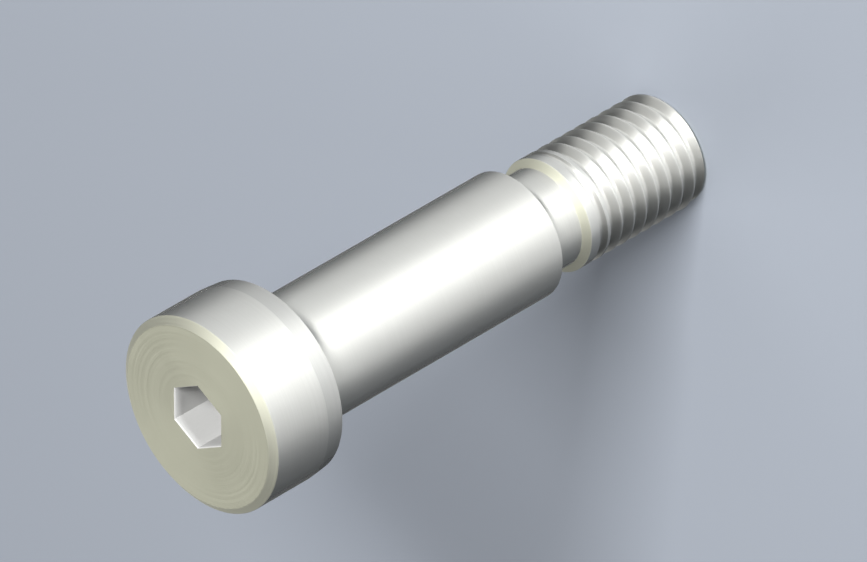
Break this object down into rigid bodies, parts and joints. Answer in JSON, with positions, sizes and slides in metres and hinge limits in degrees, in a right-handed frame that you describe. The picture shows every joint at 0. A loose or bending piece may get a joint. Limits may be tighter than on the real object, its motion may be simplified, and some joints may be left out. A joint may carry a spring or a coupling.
{
  "type": "shoulder bolt",
  "caption": "Shoulder bolt with a low cylindrical hexagon socket head, a ground shoulder, a necked relief and a threaded end.",
  "frame": {"origin": "centre of the flat point at the threaded end, on which the bolt stands", "axes": "+Z along the bolt's axis from the threaded end towards the face of the head; the corners of the hexagon socket point along +Y and -Y"},
  "size_m": [0.01, 0.01, 0.0305],
  "materials": {
    "steel": "bright turned and ground steel, satin"
  },
  "bodies": {
    "root": {"shoulder_bolt": "steel"}
  },
  "joints": []
}
